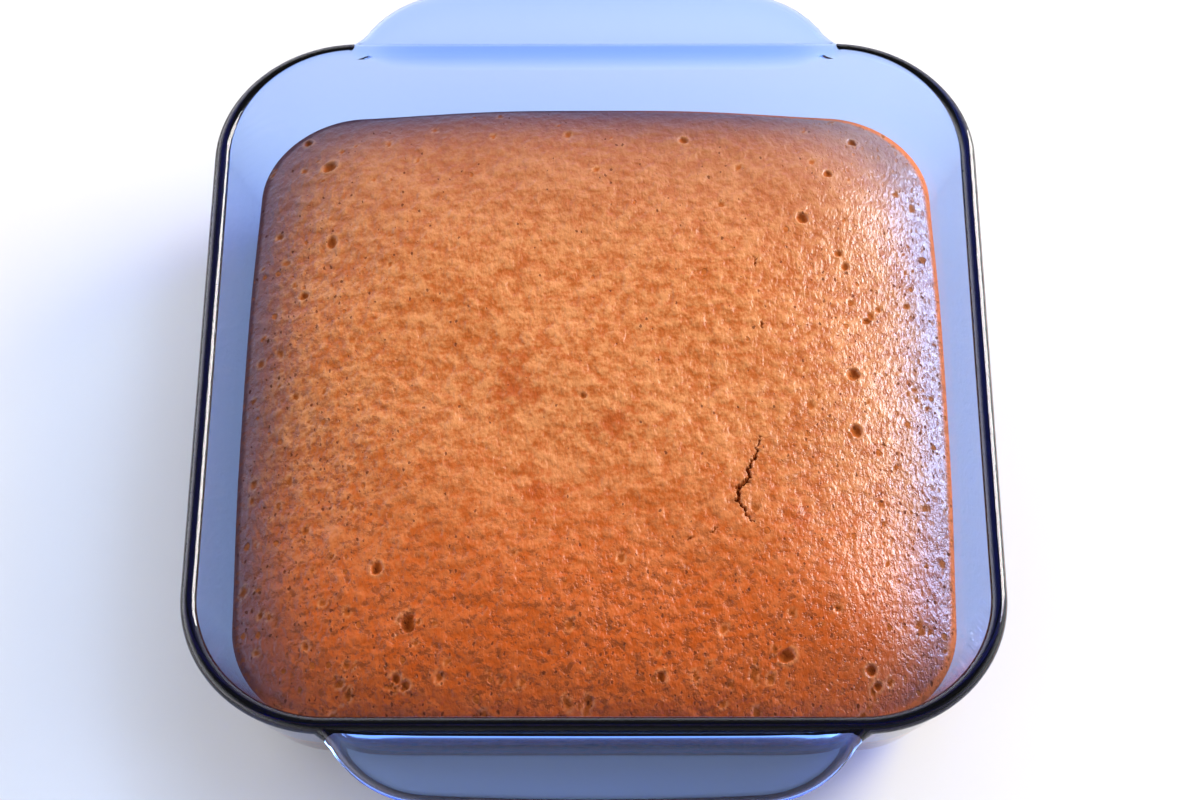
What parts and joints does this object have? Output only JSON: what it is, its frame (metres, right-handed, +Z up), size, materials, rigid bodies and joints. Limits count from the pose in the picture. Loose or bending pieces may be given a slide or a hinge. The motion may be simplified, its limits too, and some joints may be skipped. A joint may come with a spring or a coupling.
{
  "type": "pumpkin cake",
  "caption": "Uncut pumpkin cake with a low domed, golden-brown crust, in the square clear blue glass dish it was baked in, with a tab handle at the front and back.",
  "frame": {"origin": "middle of the dish's flat underside, on the surface that it stands on", "axes": "+X to the right along the handles, +Y from the front handle to the back handle, +Z up"},
  "size_m": [0.222, 0.2624, 0.056],
  "materials": {
    "glass": "polished pressed glass, tinted blue, darker where it is thick",
    "crust": "baked crust, finely pitted, with a soft moist sheen"
  },
  "bodies": {
    "root": {"dish": "glass", "cake": "crust"}
  },
  "joints": []
}
